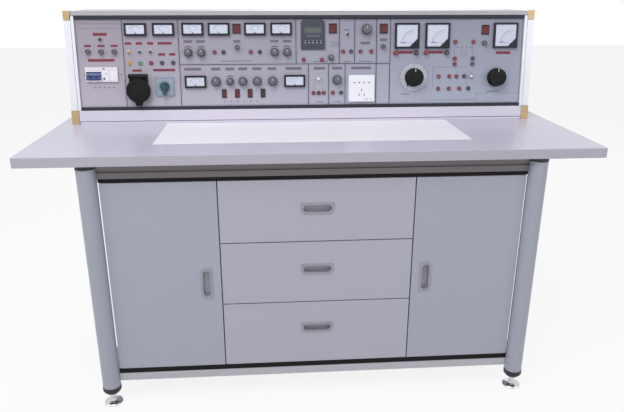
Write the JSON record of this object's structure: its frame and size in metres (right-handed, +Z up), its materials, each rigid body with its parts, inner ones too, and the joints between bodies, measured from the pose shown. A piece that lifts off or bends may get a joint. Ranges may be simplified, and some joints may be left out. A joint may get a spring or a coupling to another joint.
{
  "type": "electrical training workbench",
  "caption": "Teaching workbench for electrical experiments: desk with two cabinets and drawers under a tabletop that carries a console of meters, knobs, switches and test sockets.",
  "frame": {"origin": "on the floor, under the centre of the tabletop", "axes": "+Z up, front faces -Y, +X to the right seen from the front"},
  "size_m": [1.6, 0.7, 1.1279],
  "materials": {
    "tabletop_laminate": "fine matt",
    "mat_white": "satin",
    "leg_paint": "powder coat",
    "black_plastic": "moulded",
    "rail_aluminium": "satin",
    "carcass_board": "laminate",
    "slide_steel": "zinc plated",
    "console_aluminium": "satin anodised",
    "gilt_corner": "gold anodised",
    "console_paint": "powder coat",
    "panel_plastic": "silk",
    "meter_black": "moulded",
    "meter_glass": "clear",
    "socket_plastic": "moulded",
    "breaker_white": "moulded",
    "outlet_white": "moulded",
    "counter_slate": "silk",
    "control_metal": "plated",
    "fitting_black": "moulded",
    "door_paint": "laminated board",
    "drawer_paint": "laminated board",
    "tray_board": "laminated board",
    "knob_grey": "moulded",
    "knob_black": "moulded",
    "handle_teal": "moulded",
    "rocker_red": "moulded",
    "rocker_black": "moulded",
    "toggle_blue": "moulded",
    "button_plastic": "moulded",
    "foot_chrome": "polished"
  },
  "bodies": {
    "root": {"tabletop": "tabletop_laminate", "work_mat": "mat_white", "leg_posts": "leg_paint", "leg_end_caps": "black_plastic", "frame_rails": "rail_aluminium", "carcass_panels": "carcass_board", "drawer_slides": "slide_steel", "console_frame": "console_aluminium", "console_corners": "gilt_corner", "console_shell": "console_paint", "instrument_panels": "panel_plastic", "meter_cases": "meter_black", "meter_windows": "meter_glass", "terminals": "socket_plastic", "switch_housings": "black_plastic", "breaker_body": "breaker_white", "industrial_socket": "fitting_black", "mains_outlet": "outlet_white", "frequency_counter": "counter_slate", "control_bodies": "control_metal", "fuses_and_lamps": "fitting_black"},
    "left_door": {"left_door": "door_paint"},
    "right_door": {"right_door": "door_paint"},
    "top_drawer": {"top_drawer_front": "drawer_paint", "top_drawer_box": "tray_board"},
    "middle_drawer": {"middle_drawer_front": "drawer_paint", "middle_drawer_box": "tray_board"},
    "bottom_drawer": {"bottom_drawer_front": "drawer_paint", "bottom_drawer_box": "tray_board"},
    "counter_knob": {"counter_knob": "knob_grey"},
    "timer_knob": {"timer_knob": "knob_grey"},
    "source_knob": {"source_knob": "knob_grey"},
    "supply_knob_1": {"supply_knob_1": "knob_grey"},
    "supply_knob_2": {"supply_knob_2": "knob_grey"},
    "supply_knob_3": {"supply_knob_3": "knob_grey"},
    "supply_knob_4": {"supply_knob_4": "knob_grey"},
    "generator_knob_1": {"generator_knob_1": "knob_grey"},
    "generator_knob_2": {"generator_knob_2": "knob_grey"},
    "generator_knob_3": {"generator_knob_3": "knob_grey"},
    "generator_knob_4": {"generator_knob_4": "knob_grey"},
    "generator_knob_5": {"generator_knob_5": "knob_grey"},
    "transformer_knob": {"transformer_knob": "knob_black"},
    "speed_knob": {"speed_knob": "knob_black"},
    "mode_switch_handle": {"mode_switch_handle": "handle_teal"},
    "power_rocker_1": {"power_rocker_1": "rocker_red"},
    "power_rocker_2": {"power_rocker_2": "rocker_red"},
    "power_rocker_3": {"power_rocker_3": "rocker_red"},
    "power_rocker_4": {"power_rocker_4": "rocker_red"},
    "signal_rocker_1": {"signal_rocker_1": "rocker_red"},
    "signal_rocker_2": {"signal_rocker_2": "rocker_red"},
    "signal_rocker_3": {"signal_rocker_3": "rocker_red"},
    "signal_rocker_4": {"signal_rocker_4": "rocker_black"},
    "breaker_toggle": {"breaker_toggle": "toggle_blue"},
    "breaker_test_button": {"breaker_test_button": "breaker_white"},
    "push_button": {"push_button": "button_plastic"},
    "outlet_lid": {"outlet_lid": "knob_black"},
    "foot_front_left": {"foot_front_left": "foot_chrome"},
    "foot_front_right": {"foot_front_right": "foot_chrome"},
    "foot_rear_left": {"foot_rear_left": "foot_chrome"},
    "foot_rear_right": {"foot_rear_right": "foot_chrome"}
  },
  "joints": [
    {"name": "left_door_hinge", "type": "hinge", "parent": "root", "child": "left_door", "pos_m": [-0.582, -0.308, 0.40625], "axis": [0, 0, -1], "range_deg": [0, 100]},
    {"name": "right_door_hinge", "type": "hinge", "parent": "root", "child": "right_door", "pos_m": [0.582, -0.308, 0.40625], "axis": [0, 0, 1], "range_deg": [0, 100]},
    {"name": "top_drawer_slide", "type": "slide", "parent": "root", "child": "top_drawer", "axis": [0, -1, 0], "range_m": [0, 0.32]},
    {"name": "middle_drawer_slide", "type": "slide", "parent": "root", "child": "middle_drawer", "axis": [0, -1, 0], "range_m": [0, 0.32]},
    {"name": "bottom_drawer_slide", "type": "slide", "parent": "root", "child": "bottom_drawer", "axis": [0, -1, 0], "range_m": [0, 0.32]},
    {"name": "counter_knob_turn", "type": "hinge", "parent": "root", "child": "counter_knob", "pos_m": [0.0755, 0.09404, 0.98178], "axis": [0, 0.9936, -0.1132], "range_deg": [-150, 150]},
    {"name": "timer_knob_turn", "type": "hinge", "parent": "root", "child": "timer_knob", "pos_m": [0.1905, 0.104, 1.06922], "axis": [0, 0.9936, -0.1132], "range_deg": [-150, 150]},
    {"name": "source_knob_turn", "type": "hinge", "parent": "root", "child": "source_knob", "pos_m": [0.0955, 0.08606, 0.91174], "axis": [0, 0.9936, -0.1132], "range_deg": [-150, 150]},
    {"name": "supply_knob_1_turn", "type": "hinge", "parent": "root", "child": "supply_knob_1", "pos_m": [-0.3805, 0.09614, 1.00016], "axis": [0, 0.9936, -0.1132], "range_deg": [-150, 150]},
    {"name": "supply_knob_2_turn", "type": "hinge", "parent": "root", "child": "supply_knob_2", "pos_m": [-0.3395, 0.09614, 1.00016], "axis": [0, 0.9936, -0.1132], "range_deg": [-150, 150]},
    {"name": "supply_knob_3_turn", "type": "hinge", "parent": "root", "child": "supply_knob_3", "pos_m": [-0.1065, 0.09614, 1.00016], "axis": [0, 0.9936, -0.1132], "range_deg": [-150, 150]},
    {"name": "supply_knob_4_turn", "type": "hinge", "parent": "root", "child": "supply_knob_4", "pos_m": [-0.0665, 0.09614, 1.00016], "axis": [0, 0.9936, -0.1132], "range_deg": [-150, 150]},
    {"name": "generator_knob_1_turn", "type": "hinge", "parent": "root", "child": "generator_knob_1", "pos_m": [-0.2965, 0.08583, 0.90975], "axis": [0, 0.9936, -0.1132], "range_deg": [-150, 150]},
    {"name": "generator_knob_2_turn", "type": "hinge", "parent": "root", "child": "generator_knob_2", "pos_m": [-0.2515, 0.08583, 0.90975], "axis": [0, 0.9936, -0.1132], "range_deg": [-150, 150]},
    {"name": "generator_knob_3_turn", "type": "hinge", "parent": "root", "child": "generator_knob_3", "pos_m": [-0.2105, 0.08583, 0.90975], "axis": [0, 0.9936, -0.1132], "range_deg": [-150, 150]},
    {"name": "generator_knob_4_turn", "type": "hinge", "parent": "root", "child": "generator_knob_4", "pos_m": [-0.1645, 0.08583, 0.90975], "axis": [0, 0.9936, -0.1132], "range_deg": [-150, 150]},
    {"name": "generator_knob_5_turn", "type": "hinge", "parent": "root", "child": "generator_knob_5", "pos_m": [-0.1145, 0.08583, 0.90975], "axis": [0, 0.9936, -0.1132], "range_deg": [-150, 150]},
    {"name": "transformer_knob_turn", "type": "hinge", "parent": "root", "child": "transformer_knob", "pos_m": [0.3485, 0.08674, 0.9177], "axis": [0, 0.9936, -0.1132], "range_deg": [0, 310]},
    {"name": "speed_knob_turn", "type": "hinge", "parent": "root", "child": "speed_knob", "pos_m": [0.6245, 0.08651, 0.91571], "axis": [0, 0.9936, -0.1132], "range_deg": [0, 300]},
    {"name": "mode_switch_turn", "type": "hinge", "parent": "root", "child": "mode_switch_handle", "pos_m": [-0.4595, 0.08425, 0.89584], "axis": [0, 0.9936, -0.1132], "range_deg": [-90, 90]},
    {"name": "power_rocker_1_swing", "type": "hinge", "parent": "root", "child": "power_rocker_1", "pos_m": [-0.2255, 0.10534, 1.07208], "axis": [-1, 0, 0], "range_deg": [0, 16]},
    {"name": "power_rocker_2_swing", "type": "hinge", "parent": "root", "child": "power_rocker_2", "pos_m": [0.0815, 0.10534, 1.07208], "axis": [-1, 0, 0], "range_deg": [0, 16]},
    {"name": "power_rocker_3_swing", "type": "hinge", "parent": "root", "child": "power_rocker_3", "pos_m": [0.246, 0.10522, 1.07109], "axis": [-1, 0, 0], "range_deg": [0, 16]},
    {"name": "power_rocker_4_swing", "type": "hinge", "parent": "root", "child": "power_rocker_4", "pos_m": [0.5815, 0.10471, 1.06662], "axis": [-1, 0, 0], "range_deg": [0, 16]},
    {"name": "signal_rocker_1_swing", "type": "hinge", "parent": "root", "child": "signal_rocker_1", "pos_m": [-0.2715, 0.08253, 0.87188], "axis": [-1, 0, 0], "range_deg": [0, 16]},
    {"name": "signal_rocker_2_swing", "type": "hinge", "parent": "root", "child": "signal_rocker_2", "pos_m": [-0.2295, 0.08253, 0.87188], "axis": [-1, 0, 0], "range_deg": [0, 16]},
    {"name": "signal_rocker_3_swing", "type": "hinge", "parent": "root", "child": "signal_rocker_3", "pos_m": [-0.1885, 0.08253, 0.87188], "axis": [-1, 0, 0], "range_deg": [0, 16]},
    {"name": "signal_rocker_4_swing", "type": "hinge", "parent": "root", "child": "signal_rocker_4", "pos_m": [-0.1465, 0.08253, 0.87188], "axis": [-1, 0, 0], "range_deg": [0, 16]},
    {"name": "breaker_toggle_swing", "type": "hinge", "parent": "root", "child": "breaker_toggle", "pos_m": [-0.679, 0.09131, 0.93127], "axis": [-1, 0, 0], "range_deg": [0, 76]},
    {"name": "breaker_test_press", "type": "slide", "parent": "root", "child": "breaker_test_button", "axis": [0, 0.9936, -0.1132], "range_m": [0, 0.0012], "stiffness_N_per_m": 400},
    {"name": "push_button_press", "type": "slide", "parent": "root", "child": "push_button", "axis": [0, 0.9936, -0.1132], "range_m": [0, 0.003], "stiffness_N_per_m": 300},
    {"name": "outlet_lid_hinge", "type": "hinge", "parent": "root", "child": "outlet_lid", "pos_m": [-0.5405, 0.06573, 0.93116], "axis": [-1, 0, 0], "range_deg": [0, 110], "stiffness_Nm_per_rad": 0.02, "springref_deg": -28.65},
    {"name": "foot_front_left_level", "type": "slide", "parent": "root", "child": "foot_front_left", "axis": [0, 0, -1], "range_m": [0, 0.02]},
    {"name": "foot_front_right_level", "type": "slide", "parent": "root", "child": "foot_front_right", "axis": [0, 0, -1], "range_m": [0, 0.02]},
    {"name": "foot_rear_left_level", "type": "slide", "parent": "root", "child": "foot_rear_left", "axis": [0, 0, -1], "range_m": [0, 0.02]},
    {"name": "foot_rear_right_level", "type": "slide", "parent": "root", "child": "foot_rear_right", "axis": [0, 0, -1], "range_m": [0, 0.02]}
  ]
}
